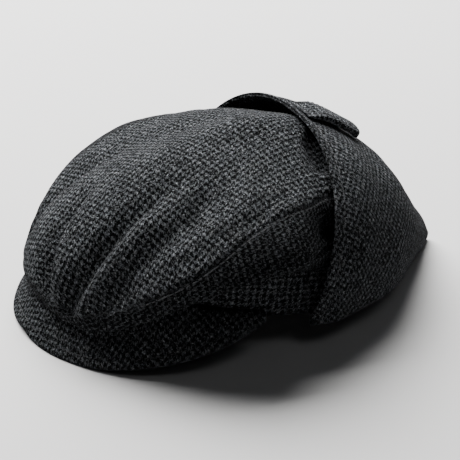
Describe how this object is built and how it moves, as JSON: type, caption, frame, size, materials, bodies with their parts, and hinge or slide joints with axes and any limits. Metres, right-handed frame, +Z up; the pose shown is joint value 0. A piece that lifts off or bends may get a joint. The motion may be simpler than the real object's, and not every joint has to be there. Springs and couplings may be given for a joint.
{
  "type": "tweed cap",
  "caption": "Soft tweed cap with a puffed crown, a short front peak and a neck flap turned up round the back under a tab.",
  "frame": {"origin": "middle of the cap's outline on the surface that it rests on", "axes": "+Z up from the surface, -Y towards the peak, +X towards the wearer's left"},
  "size_m": [0.2118, 0.2758, 0.1115],
  "materials": {
    "band_tweed": "matte charcoal tweed",
    "crown_tweed": "matte charcoal and light grey checked tweed",
    "peak_tweed": "matte charcoal tweed over a stiff board",
    "flap_tweed": "matte charcoal and light grey checked tweed, hemmed",
    "tab_tweed": "matte charcoal tweed, double and stitched",
    "snap_metal": "dark plain snap"
  },
  "bodies": {
    "root": {"head_band": "band_tweed", "crown": "crown_tweed", "peak": "peak_tweed", "neck_flap": "flap_tweed", "flap_tab": "tab_tweed", "tab_snap": "snap_metal"}
  },
  "joints": []
}
